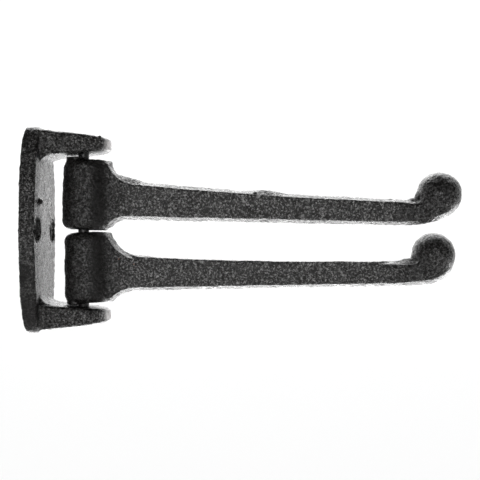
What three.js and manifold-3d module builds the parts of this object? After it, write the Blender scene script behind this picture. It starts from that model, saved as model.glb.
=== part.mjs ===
// Double swivel wall hook in sand-cast iron: a wall bracket with two ears, a riveted vertical pin, and
// two hook arms that swing on the pin one above the other, each ending in a turned-up ball.
//
// Millimetres. The origin is the centre of the bracket's flat back, +X points away from the wall,
// and +Z points up along the pin.
import * as THREE from 'three';
import { mergeVertices } from 'three/addons/utils/BufferGeometryUtils.js';
import Module from 'manifold-3d';

// Pivot pin: a plain rod whose two ends are peened over into chamfers in the ears.
const PIN_RADIUS = 1.85;
const PIN_HOLE_CLEARANCE = 0.3;
const PEEN_FLARE = 0.6;
const PEEN_RISE = 0.7;

// Blade of an arm, in the arm's own frame: x runs out from the pin axis and z up from mid-barrel.
const REACH_TO_BALL = 119.8;
const BALL_RADIUS = 7.45;
const BALL_LIFT = 3.3;
const BALL_COVER = 0.3;
const BLADE_ROOT_WIDTH = 8;
const BLADE_TIP_WIDTH = 7;
const BLADE_ROOT_BELOW = 8.2;
const BLADE_TIP_BELOW = 7.45;
const BLADE_TOP_SAG = 0.8;
const NECK_FILLET = 0.9;
const CURL_RISE = 9.8;
const CURL_WIDTH = 10.4;

// Moulding: the pattern parts along the blade's middle plane and both halves draw sideways.
const DRAFT_DEGREES = 20;
const PARTING_LAND = 0.4;

// The two arms, from patterns finished by hand: heights of the blade's top edge at root and tip, fillets
// over and under the web, the run of the web's foot, the length of the curl, and how each one hangs.
// Droop lowers the ball; swing turns it about the pin.
const UPPER_ARM = {
  rootAbove: 5,
  tipAbove: 1.3,
  topFillet: 9.6,
  bottomFillet: 5.6,
  footRun: 2,
  curlLength: 18.5,
  droopDegrees: 1.6,
  swingDegrees: -2,
};
const LOWER_ARM = {
  rootAbove: 3.3,
  tipAbove: 1.2,
  topFillet: 12,
  bottomFillet: 9.5,
  footRun: 0.8,
  curlLength: 15.5,
  droopDegrees: -0.5,
  swingDegrees: 2,
};

// Barrel of an arm. It runs loosely on the pin, it is tall enough for the arms to pass, and it is
// longer towards the blade: the radius holds across the arm and behind the pin.
const BARREL_RADIUS = 7.1;
const BARREL_REACH = 9.3;
const BARREL_BELLY = 0.15;
const BARREL_END_INSET = 2.4;
const BARREL_END_ROUND = 3.1;
const BARREL_BORE_CLEARANCE = 0.55;
const ARM_PASSING_CLEARANCE = 1.95;
const GAP_ABOVE_BARRELS = 1.95;
const GAP_BETWEEN_BARRELS = 0.85;
const GAP_BELOW_BARRELS = 1.35;

// Web that joins the barrel to the blade.
const WEB_OVERHANG = 1.8;
const WEB_FOOT_DEGREES = 145;
const WEB_SIDE_FILLET = 2.5;

// Ears: tongues with a half-round end about the pin, thinner towards the tip.
const BARREL_TO_PLATE = 5.9;
const EAR_WIDTH = 18.6;
const EAR_ROOT_THICKNESS = 8.8;
const EAR_TIP_THICKNESS = 4.2;
const EAR_INNER_SLOPE = 0.096;
const EAR_EDGE_ROUND = 1.4;
const EAR_ROOT_FILLET = 3.2;

// Wall plate: bowed sides, square-cut ends, and a flat back that eases off the wall towards both ends.
const PLATE_THICKNESS = 5.3;
const PLATE_SIDE_BOW = 5.6;
const PLATE_SIDE_STEP = 0.65;
const PLATE_END_STEP = 1;
const PLATE_CORNER = 4.2;
const PLATE_EDGE_ROUND = 0.9;
const PLATE_BACK_EASE = 1.7;
const PLATE_BACK_EASE_RUN = 14;

// Countersunk screw holes, one on each side of the barrels, out at the plate's widest.
const SCREW_HOLE_RADIUS = 2.25;
const SCREW_HEAD_RADIUS = 4.1;

// Sizes that follow from the ones above.
const PIN_X = PLATE_THICKNESS + BARREL_TO_PLATE + BARREL_RADIUS;
const DROOP_BETWEEN = THREE.MathUtils.degToRad(UPPER_ARM.droopDegrees - LOWER_ARM.droopDegrees);
const TIP_DROP = REACH_TO_BALL * Math.sin(DROOP_BETWEEN);
const ARM_PITCH = BALL_LIFT + BALL_RADIUS + BLADE_TIP_BELOW + TIP_DROP + ARM_PASSING_CLEARANCE;
const BARREL_HEIGHT = ARM_PITCH - GAP_BETWEEN_BARRELS;
const BORE_RADIUS = PIN_RADIUS + BARREL_BORE_CLEARANCE;
const BARREL_MIDDLE = (BARREL_REACH - BARREL_RADIUS) / 2;
const BARREL_HALF_LENGTH = (BARREL_REACH + BARREL_RADIUS) / 2;
const STACK_HEIGHT = 2 * BARREL_HEIGHT + GAP_ABOVE_BARRELS + GAP_BETWEEN_BARRELS + GAP_BELOW_BARRELS;
const LOWER_ARM_Z = GAP_BELOW_BARRELS + (BARREL_HEIGHT - STACK_HEIGHT) / 2;
const UPPER_ARM_Z = LOWER_ARM_Z + ARM_PITCH;
const PIN_HOLE_RADIUS = PIN_RADIUS + PIN_HOLE_CLEARANCE;
const EAR_LENGTH = PIN_X + EAR_WIDTH / 2 - PLATE_THICKNESS;
const EAR_ROOT_Z = STACK_HEIGHT / 2 - EAR_INNER_SLOPE * (PIN_X - PLATE_THICKNESS);
const PLATE_HALF_HEIGHT = EAR_ROOT_Z + EAR_ROOT_THICKNESS + PLATE_END_STEP;
const PLATE_HALF_END = EAR_WIDTH / 2 + PLATE_SIDE_STEP;
const PLATE_HALF_WIDTH = PLATE_HALF_END + PLATE_SIDE_BOW;
const SCREW_Y = PLATE_HALF_WIDTH - PLATE_EDGE_ROUND - SCREW_HEAD_RADIUS;

// How far a joined piece sinks into its neighbour, and a cutter runs past what it cuts.
const EMBED = 1;
const OVERCUT = 10;

const manifold = await Module();
manifold.setup();

// ---------------------------------------------------------------- helpers

// A closed three.js geometry as a solid that can be joined and cut.
function toSolid(geometry) {
  const bare = geometry.clone();
  bare.deleteAttribute('normal');
  bare.deleteAttribute('uv');
  const merged = mergeVertices(bare, 1e-4);
  const corners = merged.index.array;
  const triangles = [];
  for (let i = 0; i < corners.length; i += 3) {
    const [a, b, c] = corners.slice(i, i + 3);
    if (a !== b && b !== c && c !== a) triangles.push(a, b, c);
  }
  return new manifold.Manifold(new manifold.Mesh({
    numProp: 3,
    vertProperties: merged.attributes.position.array,
    triVerts: Uint32Array.from(triangles),
  }));
}

function toGeometry(solid) {
  const mesh = solid.getMesh();
  const geometry = new THREE.BufferGeometry();
  const positions = Float32Array.from(mesh.vertProperties);
  geometry.setAttribute('position', new THREE.BufferAttribute(positions, 3));
  geometry.setIndex(Array.from(mesh.triVerts));
  geometry.computeVertexNormals();
  return geometry;
}

// Stands an extrusion up so that its outline lies across the wall (y, z) or in side view (x, z).
function intoWallPlane(geometry) {
  const [x, y, z] = [new THREE.Vector3(1, 0, 0), new THREE.Vector3(0, 1, 0), new THREE.Vector3(0, 0, 1)];
  return geometry.applyMatrix4(new THREE.Matrix4().makeBasis(y, z, x));
}

function intoSideView(geometry) {
  return geometry.rotateX(Math.PI / 2);
}

// A solid of revolution about +Z from [radius, z] points, listed upwards from axis to axis.
function revolve(points, segments) {
  const profile = points.map(([radius, z]) => new THREE.Vector2(radius, z));
  return new THREE.LatheGeometry(profile, segments).rotateX(Math.PI / 2);
}

// Points along a stretch of an ellipse, its angles in degrees.
function ellipsePoints(centre, radii, from, to, steps) {
  return Array.from({ length: steps + 1 }, (_, i) => {
    const angle = THREE.MathUtils.degToRad(THREE.MathUtils.lerp(from, to, i / steps));
    return [centre[0] + radii[0] * Math.cos(angle), centre[1] + radii[1] * Math.sin(angle)];
  });
}

function arcPoints(centre, radius, from, to, steps) {
  return ellipsePoints(centre, [radius, radius], from, to, steps);
}

function bezierPoints(handles, steps) {
  const vectors = handles.map(([x, y]) => new THREE.Vector2(x, y));
  const Curve = handles.length === 3 ? THREE.QuadraticBezierCurve : THREE.CubicBezierCurve;
  return new Curve(...vectors).getPoints(steps).map((point) => [point.x, point.y]);
}

function shapeFrom(points) {
  return new THREE.Shape(points.map(([x, y]) => new THREE.Vector2(x, y)));
}

// A slab of the given thickness, from z = 0 up, with both rims rounded over.
function roundedSlab(outline, thickness, round, curveSegments) {
  const slab = new THREE.ExtrudeGeometry(outline, {
    depth: thickness - 2 * round,
    bevelThickness: round,
    bevelSize: round,
    bevelOffset: -round,
    bevelSegments: 3,
    curveSegments,
  });
  return slab.translate(0, 0, round);
}

// ---------------------------------------------------------------- wall bracket

function wallPlate() {
  const bowRadius = (PLATE_SIDE_BOW ** 2 + PLATE_HALF_HEIGHT ** 2) / (2 * PLATE_SIDE_BOW);
  const bowCentre = PLATE_HALF_WIDTH - bowRadius;
  const cornerZ = PLATE_HALF_HEIGHT - PLATE_CORNER;
  const bowAngle = Math.asin(cornerZ / bowRadius);
  const cornerY = bowCentre + bowRadius * Math.cos(bowAngle);
  const endY = PLATE_HALF_END - PLATE_CORNER;
  const outline = new THREE.Shape();
  outline.absarc(bowCentre, 0, bowRadius, -bowAngle, bowAngle, false);
  outline.quadraticCurveTo(PLATE_HALF_END, PLATE_HALF_HEIGHT, endY, PLATE_HALF_HEIGHT);
  outline.lineTo(-endY, PLATE_HALF_HEIGHT);
  outline.quadraticCurveTo(-PLATE_HALF_END, PLATE_HALF_HEIGHT, -cornerY, cornerZ);
  outline.absarc(-bowCentre, 0, bowRadius, Math.PI - bowAngle, Math.PI + bowAngle, false);
  outline.quadraticCurveTo(-PLATE_HALF_END, -PLATE_HALF_HEIGHT, -endY, -PLATE_HALF_HEIGHT);
  outline.lineTo(endY, -PLATE_HALF_HEIGHT);
  outline.quadraticCurveTo(PLATE_HALF_END, -PLATE_HALF_HEIGHT, cornerY, -cornerZ);
  return toSolid(intoWallPlane(roundedSlab(outline, PLATE_THICKNESS, PLATE_EDGE_ROUND, 8)));
}

// Side view of the plate: the back leaves the wall along a quarter of an ellipse at either end.
function plateSideTrim() {
  const flatZ = PLATE_HALF_HEIGHT - PLATE_BACK_EASE_RUN;
  const easeRadii = [PLATE_BACK_EASE, PLATE_BACK_EASE_RUN];
  const section = shapeFrom([
    ...ellipsePoints([PLATE_BACK_EASE, -flatZ], easeRadii, 180, 270, 12),
    [PLATE_THICKNESS + OVERCUT, -PLATE_HALF_HEIGHT],
    [PLATE_THICKNESS + OVERCUT, PLATE_HALF_HEIGHT],
    ...ellipsePoints([PLATE_BACK_EASE, flatZ], easeRadii, 90, 180, 12),
  ]);
  const width = 2 * (PLATE_HALF_WIDTH + OVERCUT);
  const trim = new THREE.ExtrudeGeometry(section, { depth: width, bevelEnabled: false });
  return toSolid(intoSideView(trim.translate(0, 0, -width / 2)));
}

// Height of an ear's inner face, and its thickness, at a distance x from the wall.
function earInner(x) {
  return EAR_ROOT_Z + EAR_INNER_SLOPE * (x - PLATE_THICKNESS);
}

function earThickness(x) {
  return THREE.MathUtils.lerp(EAR_ROOT_THICKNESS, EAR_TIP_THICKNESS, (x - PLATE_THICKNESS) / EAR_LENGTH);
}

// The ear's tongue is a slab with rounded rims, whose faces are then sloped to the tip.
function earTongue() {
  const halfWidth = EAR_WIDTH / 2;
  const start = PLATE_THICKNESS - EMBED;
  const plan = new THREE.Shape();
  plan.moveTo(start, -halfWidth);
  plan.lineTo(PIN_X, -halfWidth);
  plan.absarc(PIN_X, 0, halfWidth, -Math.PI / 2, Math.PI / 2, false);
  plan.lineTo(start, halfWidth);
  const tongue = roundedSlab(plan, EAR_ROOT_THICKNESS, EAR_EDGE_ROUND, 12);
  const position = tongue.attributes.position;
  for (let i = 0; i < position.count; i += 1) {
    const x = position.getX(i);
    const share = position.getZ(i) / EAR_ROOT_THICKNESS;
    position.setZ(i, earInner(x) + share * earThickness(x));
  }
  return toSolid(tongue);
}

// The fillet where an ear's inner face meets the plate.
function earRootFillet() {
  const wall = PLATE_THICKNESS;
  const centre = [wall + EAR_ROOT_FILLET, EAR_ROOT_Z - EAR_ROOT_FILLET];
  const section = shapeFrom([
    [wall - EMBED, centre[1]],
    ...arcPoints(centre, EAR_ROOT_FILLET, 180, 90, 8),
    [centre[0], EAR_ROOT_Z + EMBED],
    [wall - EMBED, EAR_ROOT_Z + EMBED],
  ]);
  const width = EAR_WIDTH - 2 * EAR_EDGE_ROUND;
  const fillet = new THREE.ExtrudeGeometry(section, { depth: width, bevelEnabled: false });
  return toSolid(intoSideView(fillet.translate(0, 0, -width / 2)));
}

function upperEar() {
  return toGeometry(earTongue().add(earRootFillet()));
}

function screwHole() {
  const sink = SCREW_HEAD_RADIUS - SCREW_HOLE_RADIUS;
  return revolve([
    [0, -OVERCUT],
    [SCREW_HOLE_RADIUS, -OVERCUT],
    [SCREW_HOLE_RADIUS, PLATE_THICKNESS - sink],
    [SCREW_HEAD_RADIUS, PLATE_THICKNESS],
    [SCREW_HEAD_RADIUS, PLATE_THICKNESS + EMBED],
    [0, PLATE_THICKNESS + EMBED],
  ], 36).rotateY(Math.PI / 2);
}

// Height on the pin axis where an ear's outer face is met.
const EAR_OUTER_AT_PIN = earInner(PIN_X) + earThickness(PIN_X);

// The pin's hole through both ears, opened by a 45 degree chamfer at each outer face.
function pinHole() {
  const chamferZ = EAR_OUTER_AT_PIN - PEEN_FLARE;
  const mouth = PIN_HOLE_RADIUS + OVERCUT;
  return revolve([
    [0, -chamferZ - OVERCUT],
    [mouth, -chamferZ - OVERCUT],
    [PIN_HOLE_RADIUS, -chamferZ],
    [PIN_HOLE_RADIUS, chamferZ],
    [mouth, chamferZ + OVERCUT],
    [0, chamferZ + OVERCUT],
  ], 36).translate(PIN_X, 0, 0);
}

function wallBracket() {
  let solid = wallPlate().intersect(plateSideTrim());
  solid = solid.add(toSolid(upperEar()));
  solid = solid.add(toSolid(upperEar().rotateX(Math.PI)));
  solid = solid.subtract(toSolid(pinHole()));
  for (const y of [-SCREW_Y, SCREW_Y]) {
    solid = solid.subtract(toSolid(screwHole().translate(0, y, 0)));
  }
  return toGeometry(solid);
}

// ---------------------------------------------------------------- pivot pin

function pivotPin() {
  const dome = ellipsePoints([0, EAR_OUTER_AT_PIN], [PIN_RADIUS + PEEN_FLARE, PEEN_RISE], 0, 90, 6);
  dome[dome.length - 1][0] = 0;
  const upperEnd = [[PIN_RADIUS, EAR_OUTER_AT_PIN - PEEN_FLARE], ...dome];
  const lowerEnd = upperEnd.map(([radius, z]) => [radius, -z]).reverse();
  return toGeometry(toSolid(revolve([...lowerEnd, ...upperEnd], 32)));
}

// ---------------------------------------------------------------- swing arm

function barrel() {
  const shoulderZ = BARREL_HEIGHT / 2 - BARREL_END_ROUND;
  const flatRadius = BARREL_RADIUS - BARREL_BELLY - BARREL_END_INSET;
  const upperHalf = [
    ...ellipsePoints([flatRadius, shoulderZ], [BARREL_END_INSET, BARREL_END_ROUND], 0, 90, 5),
    [0, BARREL_HEIGHT / 2],
  ];
  const lowerHalf = upperHalf.map(([radius, z]) => [radius, -z]).reverse();
  const round = revolve([...lowerHalf, [BARREL_RADIUS, 0], ...upperHalf], 40);
  return toSolid(round.scale(BARREL_HALF_LENGTH / BARREL_RADIUS, 1, 1).translate(BARREL_MIDDLE, 0, 0));
}

function bore() {
  return toSolid(revolve([
    [0, -BARREL_HEIGHT],
    [BORE_RADIUS, -BARREL_HEIGHT],
    [BORE_RADIUS, BARREL_HEIGHT],
    [0, BARREL_HEIGHT],
  ], 32));
}

// How many degrees short of upright a fillet stops when its centre lies past the barrel's end.
function anglePast(overrun, fillet) {
  return THREE.MathUtils.radToDeg(Math.asin(THREE.MathUtils.clamp(overrun / fillet, 0, 1)));
}

// Side view of web and blade: off the barrel's foot, along the underside, round the curl, over just
// under the ball's surface, back along the slightly hollow top edge, and up the web to the barrel's head.
function bladeSideOutline({ rootAbove, tipAbove, topFillet, bottomFillet, footRun, curlLength }) {
  const webZ = BARREL_HEIGHT / 2 - BARREL_BELLY;
  const webX = BARREL_RADIUS + WEB_OVERHANG;
  const footCentre = [BARREL_RADIUS + footRun + bottomFillet, -BLADE_ROOT_BELOW - bottomFillet];
  const curlCentre = [REACH_TO_BALL + BALL_RADIUS - curlLength, CURL_RISE - BLADE_TIP_BELOW];
  const neckZ = tipAbove + NECK_FILLET;
  const neckX = REACH_TO_BALL - Math.sqrt((BALL_RADIUS + NECK_FILLET) ** 2 - (BALL_LIFT - neckZ) ** 2);
  const headCentre = [webX + topFillet, rootAbove + topFillet];
  const hollow = [(neckX + headCentre[0]) / 2, (tipAbove + rootAbove) / 2 - 2 * BLADE_TOP_SAG];
  const topEdge = bezierPoints([[neckX, tipAbove], hollow, [headCentre[0], rootAbove]], 10);
  const footStart = Math.min(WEB_FOOT_DEGREES, 180 - anglePast(-footCentre[1] - webZ, bottomFillet));
  const headEnd = anglePast(headCentre[1] - webZ, topFillet) - 180;
  const headX = headCentre[0] + topFillet * Math.cos(THREE.MathUtils.degToRad(headEnd));
  return shapeFrom([
    [0, -webZ],
    [BARREL_RADIUS - BARREL_BELLY, -webZ],
    ...arcPoints(footCentre, bottomFillet, footStart, 90, 6),
    ...ellipsePoints(curlCentre, [curlLength, CURL_RISE], -90, 0, 14),
    ...arcPoints([REACH_TO_BALL, BALL_LIFT], BALL_RADIUS - BALL_COVER, 10, 165, 9),
    ...arcPoints([neckX, neckZ], NECK_FILLET, 0, -90, 5),
    ...topEdge.slice(1, -1),
    ...arcPoints(headCentre, topFillet, -94, headEnd, 9).slice(0, -1),
    [headX, webZ],
    [0, webZ],
  ]);
}

// Plan view of web and blade: a fillet off the barrel, a slow taper, and a swell under the ball.
function bladePlanOutline({ curlLength }) {
  const rootHalf = BLADE_ROOT_WIDTH / 2;
  const tipHalf = BLADE_TIP_WIDTH / 2;
  const curlHalf = CURL_WIDTH / 2;
  const filletY = rootHalf + WEB_SIDE_FILLET;
  const around = Math.asin(filletY / (BARREL_RADIUS + WEB_SIDE_FILLET));
  const filletX = BARREL_MIDDLE + (BARREL_HALF_LENGTH + WEB_SIDE_FILLET) * Math.cos(around);
  const towardsBarrel = 180 + THREE.MathUtils.radToDeg(around);
  const swellX = REACH_TO_BALL - curlLength;
  const swellMiddle = (swellX + REACH_TO_BALL) / 2;
  const fillet = arcPoints([filletX, filletY], WEB_SIDE_FILLET, towardsBarrel, 270, 6);
  const swell = bezierPoints(
    [[swellX, tipHalf], [swellMiddle, tipHalf], [swellMiddle, curlHalf], [REACH_TO_BALL, curlHalf]],
    8,
  );
  const end = ellipsePoints([REACH_TO_BALL, 0], [BALL_RADIUS, curlHalf], 90, 0, 7);
  const side = [[0, fillet[0][1]], ...fillet, ...swell, ...end.slice(1, -1)];
  const otherSide = side.map(([x, y]) => [x, -y]);
  return shapeFrom([...otherSide, [REACH_TO_BALL + BALL_RADIUS, 0], ...side.reverse()]);
}

// The side view drawn out both ways from the parting plane with its draft, trimmed to the plan view.
function blade(casting) {
  const halfDepth = BALL_RADIUS;
  const inset = halfDepth * Math.tan(THREE.MathUtils.degToRad(DRAFT_DEGREES));
  const drafted = new THREE.ExtrudeGeometry(bladeSideOutline(casting), {
    depth: PARTING_LAND,
    bevelThickness: halfDepth,
    bevelSize: inset,
    bevelOffset: -inset,
    bevelSegments: 1,
  });
  drafted.translate(0, 0, -PARTING_LAND / 2);
  const plan = new THREE.ExtrudeGeometry(bladePlanOutline(casting), {
    depth: 2 * BARREL_HEIGHT,
    bevelEnabled: false,
  });
  plan.translate(0, 0, -BARREL_HEIGHT);
  return toSolid(intoSideView(drafted)).intersect(toSolid(plan));
}

function ball() {
  const sphere = new THREE.SphereGeometry(BALL_RADIUS, 32, 20);
  return toSolid(sphere.translate(REACH_TO_BALL, 0, BALL_LIFT));
}

function swingArm(casting) {
  return toGeometry(barrel().add(blade(casting)).add(ball()).subtract(bore()));
}

// ---------------------------------------------------------------- assembly

const blackPaintedIron = () => new THREE.MeshStandardMaterial({
  color: 0x1d1c1b,
  roughness: 0.45,
  metalness: 0.1,
});
const blackPaintedSteel = () => new THREE.MeshStandardMaterial({
  color: 0x161616,
  roughness: 0.38,
  metalness: 0.3,
});

function namedMesh(name, geometry, material) {
  const mesh = new THREE.Mesh(geometry, material);
  mesh.name = name;
  return mesh;
}

function placedArm(name, z, casting) {
  const arm = namedMesh(name, swingArm(casting), blackPaintedIron());
  const droop = THREE.MathUtils.degToRad(casting.droopDegrees);
  const swing = THREE.MathUtils.degToRad(casting.swingDegrees);
  arm.position.set(PIN_X, 0, z);
  arm.rotation.set(0, droop, swing, 'ZYX');
  return arm;
}

const hook = new THREE.Group();
const bracket = namedMesh('wall_bracket', wallBracket(), blackPaintedIron());
const pin = namedMesh('pivot_pin', pivotPin(), blackPaintedSteel());
pin.position.x = PIN_X;
hook.add(bracket, pin);
hook.add(placedArm('upper_arm', UPPER_ARM_Z, UPPER_ARM));
hook.add(placedArm('lower_arm', LOWER_ARM_Z, LOWER_ARM));

export default hook;
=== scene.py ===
"""Looks of the double swivel wall hook: rough sand castings under satin black paint, on a riveted pin."""

import math

import bpy
import numpy as np
from mathutils import Euler, Matrix, Vector, noise


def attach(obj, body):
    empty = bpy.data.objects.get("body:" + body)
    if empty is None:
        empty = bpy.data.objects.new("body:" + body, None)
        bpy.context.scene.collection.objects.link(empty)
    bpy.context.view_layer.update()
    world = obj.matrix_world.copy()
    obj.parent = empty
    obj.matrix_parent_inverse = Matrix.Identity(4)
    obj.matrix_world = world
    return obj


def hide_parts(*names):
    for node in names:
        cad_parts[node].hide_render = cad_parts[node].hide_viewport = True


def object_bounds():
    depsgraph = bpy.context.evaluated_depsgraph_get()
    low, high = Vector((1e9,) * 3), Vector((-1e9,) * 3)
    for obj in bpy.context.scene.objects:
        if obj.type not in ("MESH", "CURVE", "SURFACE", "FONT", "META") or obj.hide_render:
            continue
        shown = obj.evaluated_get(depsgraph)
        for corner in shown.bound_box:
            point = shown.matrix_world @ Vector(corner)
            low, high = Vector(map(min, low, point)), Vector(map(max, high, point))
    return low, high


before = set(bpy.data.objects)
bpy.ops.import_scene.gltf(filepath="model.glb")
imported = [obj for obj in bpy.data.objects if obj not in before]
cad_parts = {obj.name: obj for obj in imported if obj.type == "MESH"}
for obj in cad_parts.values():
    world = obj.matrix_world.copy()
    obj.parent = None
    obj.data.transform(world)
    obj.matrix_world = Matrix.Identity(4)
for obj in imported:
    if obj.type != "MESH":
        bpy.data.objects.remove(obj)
cad_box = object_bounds()

MM = 0.001

# Camera: its place in metres in the row frame, square to the hook's side, near the height of its middle.
# Lens and sensor are in millimetres.
CAMERA_PLACE = Vector((0.0714, -0.275, -0.00335))
CAMERA_LENS = 60.7
SENSOR = 36
CAMERA_CLIP = 10 * MM

# Mesh work on the castings.
VOXEL = 0.29 * MM
EDGE_SMOOTHING = 7
CASTING_ROUGHNESS = [(9 * MM, 0.16 * MM), (2.6 * MM, 0.12 * MM), (1.1 * MM, 0.13 * MM)]  # grain size, height
BALL_SOFTENING = (15 * MM, 40)  # radius around the ball's centre, passes
SMOOTHING_FACTOR = 0.5
NOISE_STEPS = (7.3, 3.1, 5.7)  # how far apart two pieces' noise lies
CYLINDER_SIDES = 40

# Mesh work on the pin.
PIN_VOXEL = 0.2 * MM
PIN_SMOOTHING = 4
PIN_ROUGHNESS = [(1.5 * MM, 0.04 * MM)]
PIN_SEED = 9

# The two arms: middle of the barrel on the pin, droop and swing in degrees, and centre of the ball.
PIN_X = 18.3 * MM
BARREL_HEIGHT = 23.69 * MM
UPPER_ARM = {"z": 11.97 * MM, "droop": 1.6, "swing": -2, "ball": (137.98 * MM, -4.18 * MM, 11.92 * MM)}
LOWER_ARM = {"z": -12.57 * MM, "droop": -0.5, "swing": 2, "ball": (138.02 * MM, 4.18 * MM, -8.22 * MM)}

# The barrel's square shoulder over the web: distance from the pin, half sizes along and across the arm.
SHOULDER_REACH = 5.4 * MM
SHOULDER_HALF = (2.9 * MM, 5.2 * MM)
SHOULDER_BELOW_END = 0.15 * MM

# A low collar on the barrel's outer end, on the side of the plate, and the bore kept open through it.
COLLAR_BACK = 2.2 * MM
COLLAR_HALF = (3.8 * MM, 5.2 * MM)
COLLAR_RISE = 0.7 * MM
COLLAR_HEIGHT = 3 * MM
BORE_RADIUS = 2.4 * MM

# The lower arm's near face runs up to its top edge between two distances along X, easing in and out
# from a least share of its width. Rays that find the arm start well clear of it.
FLUSH_TOP = (33 * MM, 123 * MM)
FLUSH_EASE = 5 * MM
FLUSH_DEPTH = 2 * MM
FLUSH_LEAST = 0.05
FLUSH_STATIONS = 40
RAY_START = 100 * MM

# The straight-sided mouths of the two screw holes.
MOUTH_Y = 10.55 * MM
MOUTH_RADIUS = 4.35 * MM
MOUTH_DEPTH = 1.1 * MM
MOUTH_OVERRUN = 0.5 * MM
PLATE_FRONT = 5.3 * MM

# Beads of metal on the plate's front: centre and radius in millimetres.
PLATE_BEADS = [((5.2, -7.6, 9.2), 1.25), ((5.2, 5, -22.7), 0.65), ((5.2, 11.2, -9.4), 0.5)]

# Casting flaws: centre, radius and height in millimetres, and for some a stretch along X.
BRACKET_FLAWS = [
    ((5.2, -0.5, -1.1), 1, 0.35),  # faint lump on the plate's front
    ((25, -6, 31.2), 0.9, 0.45),   # burrs on the ears' tips
    ((27, -2, -25.2), 1.2, 0.5),
]
UPPER_ARM_FLAWS = [
    ((80.5, -2.2, 12.4), 3.4, 0.75, 2.4),  # swelling on the blade's top edge, and a nib at its start
    ((76.5, -4.4, 12.2), 0.9, 0.55),
    ((130.2, -4, 10.6), 3.2, 0.8),         # fill in the neck before the ball
    ((34.5, -0.6, 16.6), 4, 0.9, 1.4),     # web fuller at its foot and leaner above
    ((28.8, -0.4, 20), 3, -0.9),
]
LOWER_ARM_FLAWS = [
    ((129.2, 4, -10.6), 4, 0.9, 1.1),      # fill in the neck before the ball
    ((39, 0.7, -9), 4, 0.5, 1.5),          # fuller top edge where the web ends
    ((139, 4.2, -15.5), 9.5, 0.9),         # fuller underside of the ball
    ((11.2, 0, -5), 9, -0.6),              # leaner barrel on the side of the plate
    ((11.2, 0, -12.6), 9, -0.6),
    ((11.2, 0, -20.5), 9, -0.6),
]

# Painted shade: darker zones of the paint with less gloss, placed to match the shading down the barrels'
# near sides, under the lower arm by its web and at the plate's top and bottom: centre and radius in
# millimetres.
BRACKET_SHADE = [((0, -15.5, -27), 14), ((0, -15.5, -15), 8), ((1, -15.5, 31), 7)]
UPPER_ARM_SHADE = [((24.5, -6, z), 4.6) for z in (2, 5.3, 8.6, 12, 15.3, 18.6, 22)]
LOWER_ARM_SHADE = [
    *[((24.5, -6, z), 4.6) for z in (-22.5, -19.2, -15.9, -12.5, -9.2, -5.9, -2.5)],
    *[((x, 0.5, -21), 5.5) for x in (33, 38, 43, 48, 53)],
]
SHADE_CORE = 0.2  # share of the radius where the painted shade is at its darkest
SHADE_MOST = 0.85
SHADE_SHEEN = 0.16

# Paint colours. The ground is black and its grain grey, the grey being painted glints of the gloss on the
# grain; the pin has its own pair.
IRON_BLACK = (0.007, 0.0065, 0.006, 1)
IRON_GLINT_GREY = (0.075, 0.073, 0.072, 1)
BRACKET_GLINT_GREY = (0.14, 0.137, 0.134, 1)
PIN_BLACK = (0.012, 0.012, 0.012, 1)
PIN_GREY = (0.035, 0.034, 0.033, 1)
RUST = (0.32, 0.11, 0.03, 1)

# Paler paint, placed to match the shading: a painted reflection along the blades and a painted highlight on
# the ears' tips, where glancing light falls.
REFLECTION_BLACK = (0.021, 0.0205, 0.02, 1)
REFLECTION_GREY = (0.3, 0.295, 0.29, 1)
REFLECTION_SPAN = (26 * MM, 129 * MM)
REFLECTION_EASE = 11 * MM
TIP_HIGHLIGHT_GREY = (0.36, 0.35, 0.345, 1)

# Paint grain: noise settings, then ranges of the noise and what they become, and relief.
GRAIN_NOISE = {"Detail": 3, "Roughness": 0.65, "Distortion": 0.7}
GRAIN_SCALE = 1500
PATCH_SCALE = 120
PIN_GRAIN_NOISE = {"Detail": 3, "Scale": 900}
GRAIN_TO_TONE = (0.52, 0.7, 0, 1)
GRAIN_TO_SHEEN = (0.42, 0.62, 0.1, 0.8)
PATCH_TO_ROUGHNESS = (0.3, 0.7, 0.22, 0.34)
PIN_GRAIN_TO_ROUGHNESS = (0, 1, 0.3, 0.5)
GRAIN_BUMP = {"Strength": 1, "Distance": 0.3 * MM}
PIN_GRAIN_BUMP = {"Strength": 0.5, "Distance": 0.1 * MM}

# Spots of another colour: centre and radius in millimetres, colour.
# The bracket's spots are the pale ears' tips: painted highlights where glancing light falls.
BRACKET_TIP_HIGHLIGHTS = [((28, -2, 28.3), 4, TIP_HIGHLIGHT_GREY), ((28, -2, -28.3), 4, TIP_HIGHLIGHT_GREY)]
LOWER_ARM_SPOTS = [((30.8, -3.8, -9.7), 0.45, RUST), ((35.8, -3.6, -11.4), 0.35, RUST)]
SPOT_CORE = 0.5  # share of the radius that has the spot's full colour

# Studio surround: strengths of light, and the parts of a direction between which each rises: its -Y
# towards the camera's side, its Y away from it, and its Z up or down.
LIGHT_AROUND = 0.1
LIGHT_FRONT = 20
FRONT_BAND = (0.98, 1)
LIGHT_BEHIND = 2.2
BEHIND_BAND = (0.2, 0.9)
LIGHT_OVERHEAD = 5.5
OVERHEAD_BAND = (0.25, 0.75)
BACKDROP = 1.1  # what the camera itself sees of the surround

# Floor below the hook, and the card that lies on it behind the hook, in metres and watts.
FLOOR_SIZE = 12
FLOOR_DROP = 0.12
FLOOR_COLOUR = (0.9, 0.9, 0.9, 1)
FLOOR_ROUGHNESS = 0.9
CARD_SIZE = (0.9, 0.5)
CARD_X = 0.08
CARD_SETBACK = 0.1
CARD_ABOVE_FLOOR = 0.01
CARD_POWER = 7


# ------------------------------------------------------------------ meshes

def applied_mesh(piece):
    """Bakes a piece's modifiers into its mesh."""
    bpy.context.view_layer.update()
    graph = bpy.context.evaluated_depsgraph_get()
    mesh = bpy.data.meshes.new_from_object(piece.evaluated_get(graph))
    piece.modifiers.clear()
    piece.data = mesh
    return piece


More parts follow.
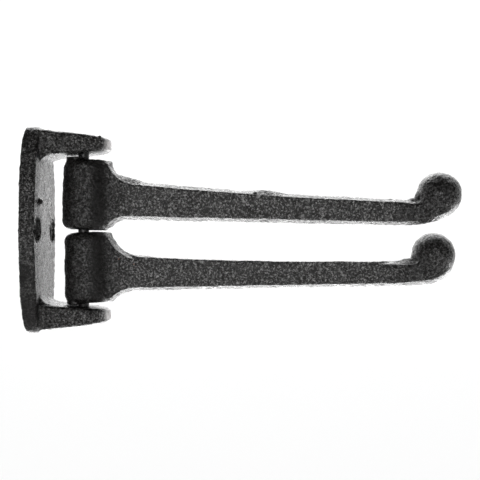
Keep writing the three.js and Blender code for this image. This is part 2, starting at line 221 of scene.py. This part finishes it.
def cylinder(radii, height, place, rotation):
    """An elliptical cylinder about a point, in metres, upright before it is turned by an Euler rotation."""
    bpy.ops.mesh.primitive_cylinder_add(vertices=CYLINDER_SIDES, radius=1, depth=1)
    shape = bpy.context.object
    shape.matrix_world = (Matrix.Translation(place) @ Euler(rotation).to_matrix().to_4x4()
                          @ Matrix.Diagonal((radii[0], radii[1], height, 1)))
    return shape


def add_shape(piece, shape, operation):
    """Joins a closed shape to a piece or cuts it out, and removes the shape."""
    boolean = piece.modifiers.new("shape", "BOOLEAN")
    boolean.object = shape
    boolean.operation = operation
    boolean.solver = "EXACT"
    applied_mesh(piece)
    bpy.data.objects.remove(shape)


def remeshed_copy(node, name, voxel, smoothing, shapes=()):
    """A dense, evenly meshed copy of a CAD node, its edges rounded as a mould rounds them."""
    piece = bpy.data.objects.new(name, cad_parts[node].data.copy())
    bpy.context.scene.collection.objects.link(piece)
    piece.data.materials.clear()
    for shape, operation in shapes:
        add_shape(piece, shape, operation)
    remesh = piece.modifiers.new("even", "REMESH")
    remesh.mode = "VOXEL"
    remesh.voxel_size = voxel
    smooth = piece.modifiers.new("round", "SMOOTH")
    smooth.factor = SMOOTHING_FACTOR
    smooth.iterations = smoothing
    applied_mesh(piece)
    piece.data.shade_smooth()
    return piece


def read_vertices(piece):
    count = len(piece.data.vertices)
    places = np.empty(count * 3, np.float32)
    normals = np.empty(count * 3, np.float32)
    piece.data.vertices.foreach_get("co", places)
    piece.data.vertex_normals.foreach_get("vector", normals)
    return places.reshape(-1, 3), normals.reshape(-1, 3)


def write_vertices(piece, places):
    piece.data.vertices.foreach_set("co", places.astype(np.float32).ravel())
    piece.data.update()


def soften(piece, centre, radius, passes):
    """Rounds off the corners near a point, fully within half the radius and fading out towards its edge."""
    places, _ = read_vertices(piece)
    distance = np.linalg.norm(places - np.array(centre, np.float32), axis=1) / radius
    weight = np.clip(2 - 2 * distance, 0, 1)
    group = piece.vertex_groups.new(name="soft")
    for i in np.nonzero(weight)[0]:
        group.add([int(i)], float(weight[i]), "REPLACE")
    smooth = piece.modifiers.new("soften", "SMOOTH")
    smooth.factor = SMOOTHING_FACTOR
    smooth.iterations = passes
    smooth.vertex_group = "soft"
    applied_mesh(piece)
    piece.vertex_groups.clear()


def casting_waviness(piece, seed, layers):
    """Moves the skin along its normals by layers of noise: (grain size, height), in metres."""
    places, normals = read_vertices(piece)
    offset = Vector([seed * step for step in NOISE_STEPS])
    lift = np.zeros(len(places))
    for size, height in layers:
        for i, place in enumerate(places):
            lift[i] += height * noise.noise(Vector(place) / size + offset)
    write_vertices(piece, places + normals * lift[:, None])


def dab(piece, centre, radius, height, stretch=1):
    """A lump, or a pit where height is negative, with soft shoulders. Millimetres; stretch is along X."""
    places, normals = read_vertices(piece)
    away = (places - np.array(centre, np.float32) * MM) / (radius * MM)
    away[:, 0] /= stretch
    distance = np.linalg.norm(away, axis=1)
    bump = np.where(distance < 1, (1 - distance ** 2) ** 2, 0) * height * MM
    write_vertices(piece, places + normals * bump[:, None])


# ------------------------------------------------------------------ materials

def node_tree(name):
    material = bpy.data.materials.new(name)
    material.use_nodes = True
    tree = material.node_tree
    return material, tree, tree.nodes["Principled BSDF"]


def add_node(tree, kind, **settings):
    node = tree.nodes.new(kind)
    for key, value in settings.items():
        if key in node.inputs:
            node.inputs[key].default_value = value
        else:
            setattr(node, key, value)
    return node


def map_range(tree, value, numbers, smooth=False):
    """Maps a value by (from low, from high, to low, to high), clamped."""
    node = add_node(tree, "ShaderNodeMapRange", interpolation_type="SMOOTHSTEP" if smooth else "LINEAR")
    for name, number in zip(("From Min", "From Max", "To Min", "To Max"), numbers):
        node.inputs[name].default_value = number
    tree.links.new(value, node.inputs["Value"])
    return node.outputs["Result"]


def math_node(tree, operation, first, second):
    """An operation on two sockets, or on a socket and a number."""
    node = add_node(tree, "ShaderNodeMath", operation=operation)
    for socket, value in zip(node.inputs, (first, second)):
        if isinstance(value, (int, float)):
            socket.default_value = value
        else:
            tree.links.new(value, socket)
    return node.outputs["Value"]


def mix_colours(tree, first, second, factor):
    """Two colours, each a socket or a constant, mixed by a factor."""
    node = add_node(tree, "ShaderNodeMix", data_type="RGBA")
    for socket, value in ((node.inputs["A"], first), (node.inputs["B"], second)):
        if isinstance(value, tuple):
            socket.default_value = value
        else:
            tree.links.new(value, socket)
    tree.links.new(factor, node.inputs["Factor"])
    return node.outputs["Result"]


def near_point(tree, place, centre, radius, core, most, smooth):
    """A factor from 0 at a radius around a point to its most at a share of that radius. Millimetres."""
    distance = add_node(tree, "ShaderNodeVectorMath", operation="DISTANCE")
    tree.links.new(place, distance.inputs[0])
    distance.inputs[1].default_value = [value * MM for value in centre]
    edges = (radius * MM, core * radius * MM, 0, most)
    return map_range(tree, distance.outputs["Value"], edges, smooth)


def colour_spots(tree, place, spots, colour):
    """Mixes other colours into a paint colour at round spots: (centre, radius, colour)."""
    for centre, radius, other in spots:
        spot = near_point(tree, place, centre, radius, SPOT_CORE, 1, smooth=False)
        colour = mix_colours(tree, colour, other, spot)
    return colour


def painted_shade_patches(tree, place, patches):
    """Painted shade: the strongest factor of a list of soft round patches: (centre, radius)."""
    factors = [near_point(tree, place, centre, radius, SHADE_CORE, SHADE_MOST, smooth=True)
               for centre, radius in patches]
    total = factors[0]
    for factor in factors[1:]:
        total = math_node(tree, "MAXIMUM", total, factor)
    return total


def painted_reflection_along_blade(tree, place):
    """Where the painted reflection lies: a factor that is 1 along the blades and fades out towards both of
    their ends.
    """
    split = add_node(tree, "ShaderNodeSeparateXYZ")
    tree.links.new(place, split.inputs["Vector"])
    start, end = REFLECTION_SPAN
    rise = map_range(tree, split.outputs["X"], (start, start + REFLECTION_EASE, 0, 1), smooth=True)
    fall = map_range(tree, split.outputs["X"], (end, end - REFLECTION_EASE, 0, 1), smooth=True)
    return math_node(tree, "MULTIPLY", rise, fall)


def add_bump(tree, shader, height, settings):
    bump = add_node(tree, "ShaderNodeBump", **settings)
    tree.links.new(height, bump.inputs["Height"])
    tree.links.new(bump.outputs["Normal"], shader.inputs["Normal"])


def painted_iron(name, seed, grey, spots, shade_zones, blade):
    """Black paint on a sand casting: an orange-peel grain that breaks up the gloss, its grey a painted
    glint, with painted shade in patches and a painted reflection along a blade.
    """
    material, tree, shader = node_tree(name)
    link = tree.links.new
    place = add_node(tree, "ShaderNodeTexCoord").outputs["Object"]
    shift = add_node(tree, "ShaderNodeMapping")
    shift.inputs["Location"].default_value = (seed, seed * 2, seed * 3)
    link(place, shift.inputs["Vector"])

    def pattern(scale):
        noise_node = add_node(tree, "ShaderNodeTexNoise", Scale=scale, **GRAIN_NOISE)
        link(shift.outputs["Vector"], noise_node.inputs["Vector"])
        return noise_node.outputs["Fac"]

    grain = pattern(GRAIN_SCALE)
    patches = pattern(PATCH_SCALE)
    painted_shade = painted_shade_patches(tree, place, shade_zones)

    # The grain's grey in the colour is painted glints of the gloss.
    tone = map_range(tree, grain, GRAIN_TO_TONE)
    colour = mix_colours(tree, IRON_BLACK, grey, tone)
    # An arm gets a painted reflection along its blade.
    if blade:
        pale = mix_colours(tree, REFLECTION_BLACK, REFLECTION_GREY, tone)
        colour = mix_colours(tree, colour, pale, painted_reflection_along_blade(tree, place))
    # Painted shade darkens the colour in its patches.
    colour = mix_colours(tree, colour, IRON_BLACK, painted_shade)
    link(colour_spots(tree, place, spots, colour), shader.inputs["Base Color"])
    link(map_range(tree, patches, PATCH_TO_ROUGHNESS), shader.inputs["Roughness"])

    # The painted shade also lowers the gloss there.
    sheen = add_node(tree, "ShaderNodeMix")
    link(painted_shade, sheen.inputs["Factor"])
    link(map_range(tree, grain, GRAIN_TO_SHEEN), sheen.inputs["A"])
    sheen.inputs["B"].default_value = SHADE_SHEEN
    link(sheen.outputs["Result"], shader.inputs["Specular IOR Level"])
    add_bump(tree, shader, grain, GRAIN_BUMP)
    return material


def painted_pin(name):
    """Black paint on a drawn rod, with a fine grain."""
    material, tree, shader = node_tree(name)
    place = add_node(tree, "ShaderNodeTexCoord")
    noise_node = add_node(tree, "ShaderNodeTexNoise", **PIN_GRAIN_NOISE)
    tree.links.new(place.outputs["Object"], noise_node.inputs["Vector"])
    grain = noise_node.outputs["Fac"]
    tree.links.new(map_range(tree, grain, PIN_GRAIN_TO_ROUGHNESS), shader.inputs["Roughness"])
    tree.links.new(mix_colours(tree, PIN_BLACK, PIN_GREY, grain), shader.inputs["Base Color"])
    add_bump(tree, shader, grain, PIN_GRAIN_BUMP)
    return material


# ------------------------------------------------------------------ pieces

def screw_mouths():
    """Cutters that open each countersink with a short straight wall."""
    height = MOUTH_DEPTH + 2 * MOUTH_OVERRUN
    middle = PLATE_FRONT - MOUTH_DEPTH / 2 + MOUTH_OVERRUN
    for y in (-MOUTH_Y, MOUTH_Y):
        place = Vector((middle, y, 0))
        yield cylinder((MOUTH_RADIUS, MOUTH_RADIUS), height, place, (0, math.pi / 2, 0)), "DIFFERENCE"


def plate_beads():
    """Small balls half sunk in the plate's front."""
    for centre, radius in PLATE_BEADS:
        bpy.ops.mesh.primitive_uv_sphere_add(radius=radius * MM, location=Vector(centre) * MM)
        yield bpy.context.object, "UNION"


def arm_frame(arm):
    """The middle of an arm's barrel and the rotation of its blade."""
    return Vector((PIN_X, 0, arm["z"])), Euler((0, math.radians(arm["droop"]), math.radians(arm["swing"])))


def barrel_collar(arm, outward):
    """Raises the barrel's outer end beside the pin, towards the plate, and opens the bore through it."""
    pivot, rotation = arm_frame(arm)
    middle = outward * (BARREL_HEIGHT / 2 + COLLAR_RISE - COLLAR_HEIGHT / 2)
    collar = pivot + rotation.to_matrix() @ Vector((-COLLAR_BACK, 0, middle))
    bore = pivot + Vector((0, 0, middle))
    yield cylinder(COLLAR_HALF, COLLAR_HEIGHT, collar, rotation), "UNION"
    yield cylinder((BORE_RADIUS, BORE_RADIUS), 3 * COLLAR_HEIGHT, bore, (0, 0, 0)), "DIFFERENCE"


def barrel_shoulder(arm):
    """Fills the barrel's rounded ends square where they stand over the web."""
    pivot, rotation = arm_frame(arm)
    middle = pivot + rotation.to_matrix() @ Vector((SHOULDER_REACH, 0, 0))
    yield cylinder(SHOULDER_HALF, BARREL_HEIGHT - 2 * SHOULDER_BELOW_END, middle, rotation), "UNION"


def flush_top(node, arm):
    """A bar that squares off the draft along an arm's top, on its near side, where Y is negative."""
    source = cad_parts[node]
    start, end = FLUSH_TOP
    slope = math.tan(math.radians(arm["swing"]))
    corners = []
    for x in np.linspace(start, end, FLUSH_STATIONS):
        middle = (x - PIN_X) * slope
        _, top, _, _ = source.ray_cast(Vector((x, middle, RAY_START)), Vector((0, 0, -1)))
        below = top.z - FLUSH_DEPTH
        _, face, _, _ = source.ray_cast(Vector((x, -RAY_START, below)), Vector((0, 1, 0)))
        ease = min(1, FLUSH_LEAST + (x - start) / FLUSH_EASE, FLUSH_LEAST + (end - x) / FLUSH_EASE)
        near = middle + (face.y - middle) * ease
        corners += [(x, middle, top.z), (x, near, top.z), (x, near, below), (x, middle, below)]
    last = len(corners) - 4
    sides = [(4 * i + j, 4 * i + 4 + j, 4 * i + 4 + (j + 1) % 4, 4 * i + (j + 1) % 4)
             for i in range(FLUSH_STATIONS - 1) for j in range(4)]
    mesh = bpy.data.meshes.new("flush_top")
    mesh.from_pydata(corners, [], [(0, 1, 2, 3), (last + 3, last + 2, last + 1, last)] + sides)
    bar = bpy.data.objects.new("flush_top", mesh)
    bpy.context.scene.collection.objects.link(bar)
    yield bar, "UNION"


def casting(node, body, seed, shapes, flaws, shade_zones, spots=(), ball=None, grey=IRON_GLINT_GREY):
    """One painted iron casting, from its CAD node; an arm also has its neck and ball softened."""
    name = node + "_casting"
    piece = remeshed_copy(node, name, VOXEL, EDGE_SMOOTHING, shapes)
    if ball:
        soften(piece, ball, *BALL_SOFTENING)
    casting_waviness(piece, seed, CASTING_ROUGHNESS)
    for flaw in flaws:
        dab(piece, *flaw)
    paint = painted_iron(name + "_paint", seed, grey, spots, shade_zones, blade=ball is not None)
    piece.data.materials.append(paint)
    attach(piece, body)
    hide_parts(node)


def pin():
    """The riveted steel pin."""
    piece = remeshed_copy("pivot_pin", "pivot_pin_rod", PIN_VOXEL, PIN_SMOOTHING)
    casting_waviness(piece, PIN_SEED, PIN_ROUGHNESS)
    piece.data.materials.append(painted_pin("pin_paint"))
    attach(piece, "bracket")
    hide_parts("pivot_pin")


# ------------------------------------------------------------------ studio

def camera():
    data = bpy.data.cameras.new("side_view")
    data.lens = CAMERA_LENS
    data.sensor_width = SENSOR
    data.clip_start = CAMERA_CLIP
    view = bpy.data.objects.new("side_view", data)
    view.location = CAMERA_PLACE
    view.rotation_euler = (math.radians(90), 0, 0)
    bpy.context.scene.collection.objects.link(view)
    bpy.context.scene.camera = view


def floor_height():
    return cad_box[0][2] - FLOOR_DROP


def floor():
    bpy.ops.mesh.primitive_plane_add(size=FLOOR_SIZE, location=(0, 0, floor_height()))
    plane = bpy.context.object
    plane.name = "floor"
    material, _, shader = node_tree("pale_floor")
    shader.inputs["Base Color"].default_value = FLOOR_COLOUR
    shader.inputs["Roughness"].default_value = FLOOR_ROUGHNESS
    plane.data.materials.append(material)


def studio_light():
    """A dim surround, brighter behind the object and in a small patch behind the camera. It looks white."""
    world = bpy.data.worlds.new("white_studio")
    bpy.context.scene.world = world
    world.use_nodes = True
    tree = world.node_tree
    link = tree.links.new
    background = tree.nodes["Background"]
    split = add_node(tree, "ShaderNodeSeparateXYZ")
    link(add_node(tree, "ShaderNodeTexCoord").outputs["Generated"], split.inputs["Vector"])
    back = split.outputs["Y"]
    steepness = math_node(tree, "ABSOLUTE", split.outputs["Z"], 0)
    facing = math_node(tree, "MULTIPLY", back, -1)

    steep = map_range(tree, steepness, (*OVERHEAD_BAND, 0, 1), smooth=True)
    far = map_range(tree, back, (*BEHIND_BAND, 0, LIGHT_OVERHEAD), smooth=True)
    overhead = math_node(tree, "MULTIPLY", steep, far)
    behind = map_range(tree, back, (*BEHIND_BAND, 0, LIGHT_BEHIND), smooth=True)
    front = map_range(tree, facing, (*FRONT_BAND, 0, LIGHT_FRONT), smooth=True)
    total = math_node(tree, "ADD", math_node(tree, "ADD", overhead, behind),
                      math_node(tree, "ADD", front, LIGHT_AROUND))

    seen = add_node(tree, "ShaderNodeMix")
    link(add_node(tree, "ShaderNodeLightPath").outputs["Is Camera Ray"], seen.inputs["Factor"])
    link(total, seen.inputs["A"])
    seen.inputs["B"].default_value = BACKDROP
    link(seen.outputs["Result"], background.inputs["Strength"])
    background.inputs["Color"].default_value = (1, 1, 1, 1)
    bpy.context.scene.view_settings.view_transform = "Standard"


def light_card():
    """A pale card lying behind the object that lights the undersides."""
    data = bpy.data.lights.new("light_card", "AREA")
    data.shape = "RECTANGLE"
    data.size, data.size_y = CARD_SIZE
    data.energy = CARD_POWER
    card = bpy.data.objects.new("light_card", data)
    card.location = (CARD_X, CARD_SETBACK + CARD_SIZE[1] / 2, floor_height() + CARD_ABOVE_FLOOR)
    card.rotation_euler = (math.pi, 0, 0)
    card.visible_camera = False
    bpy.context.scene.collection.objects.link(card)


camera()
floor()
studio_light()
light_card()
casting("wall_bracket", "bracket", 1,
        [*screw_mouths(), *plate_beads()],
        BRACKET_FLAWS, BRACKET_SHADE, BRACKET_TIP_HIGHLIGHTS, grey=BRACKET_GLINT_GREY)
casting("upper_arm", "upper_arm", 2,
        [*barrel_shoulder(UPPER_ARM), *barrel_collar(UPPER_ARM, 1)],
        UPPER_ARM_FLAWS, UPPER_ARM_SHADE, ball=UPPER_ARM["ball"])
casting("lower_arm", "lower_arm", 3,
        [*barrel_shoulder(LOWER_ARM), *barrel_collar(LOWER_ARM, -1), *flush_top("lower_arm", LOWER_ARM)],
        LOWER_ARM_FLAWS, LOWER_ARM_SHADE, LOWER_ARM_SPOTS, LOWER_ARM["ball"])
pin()
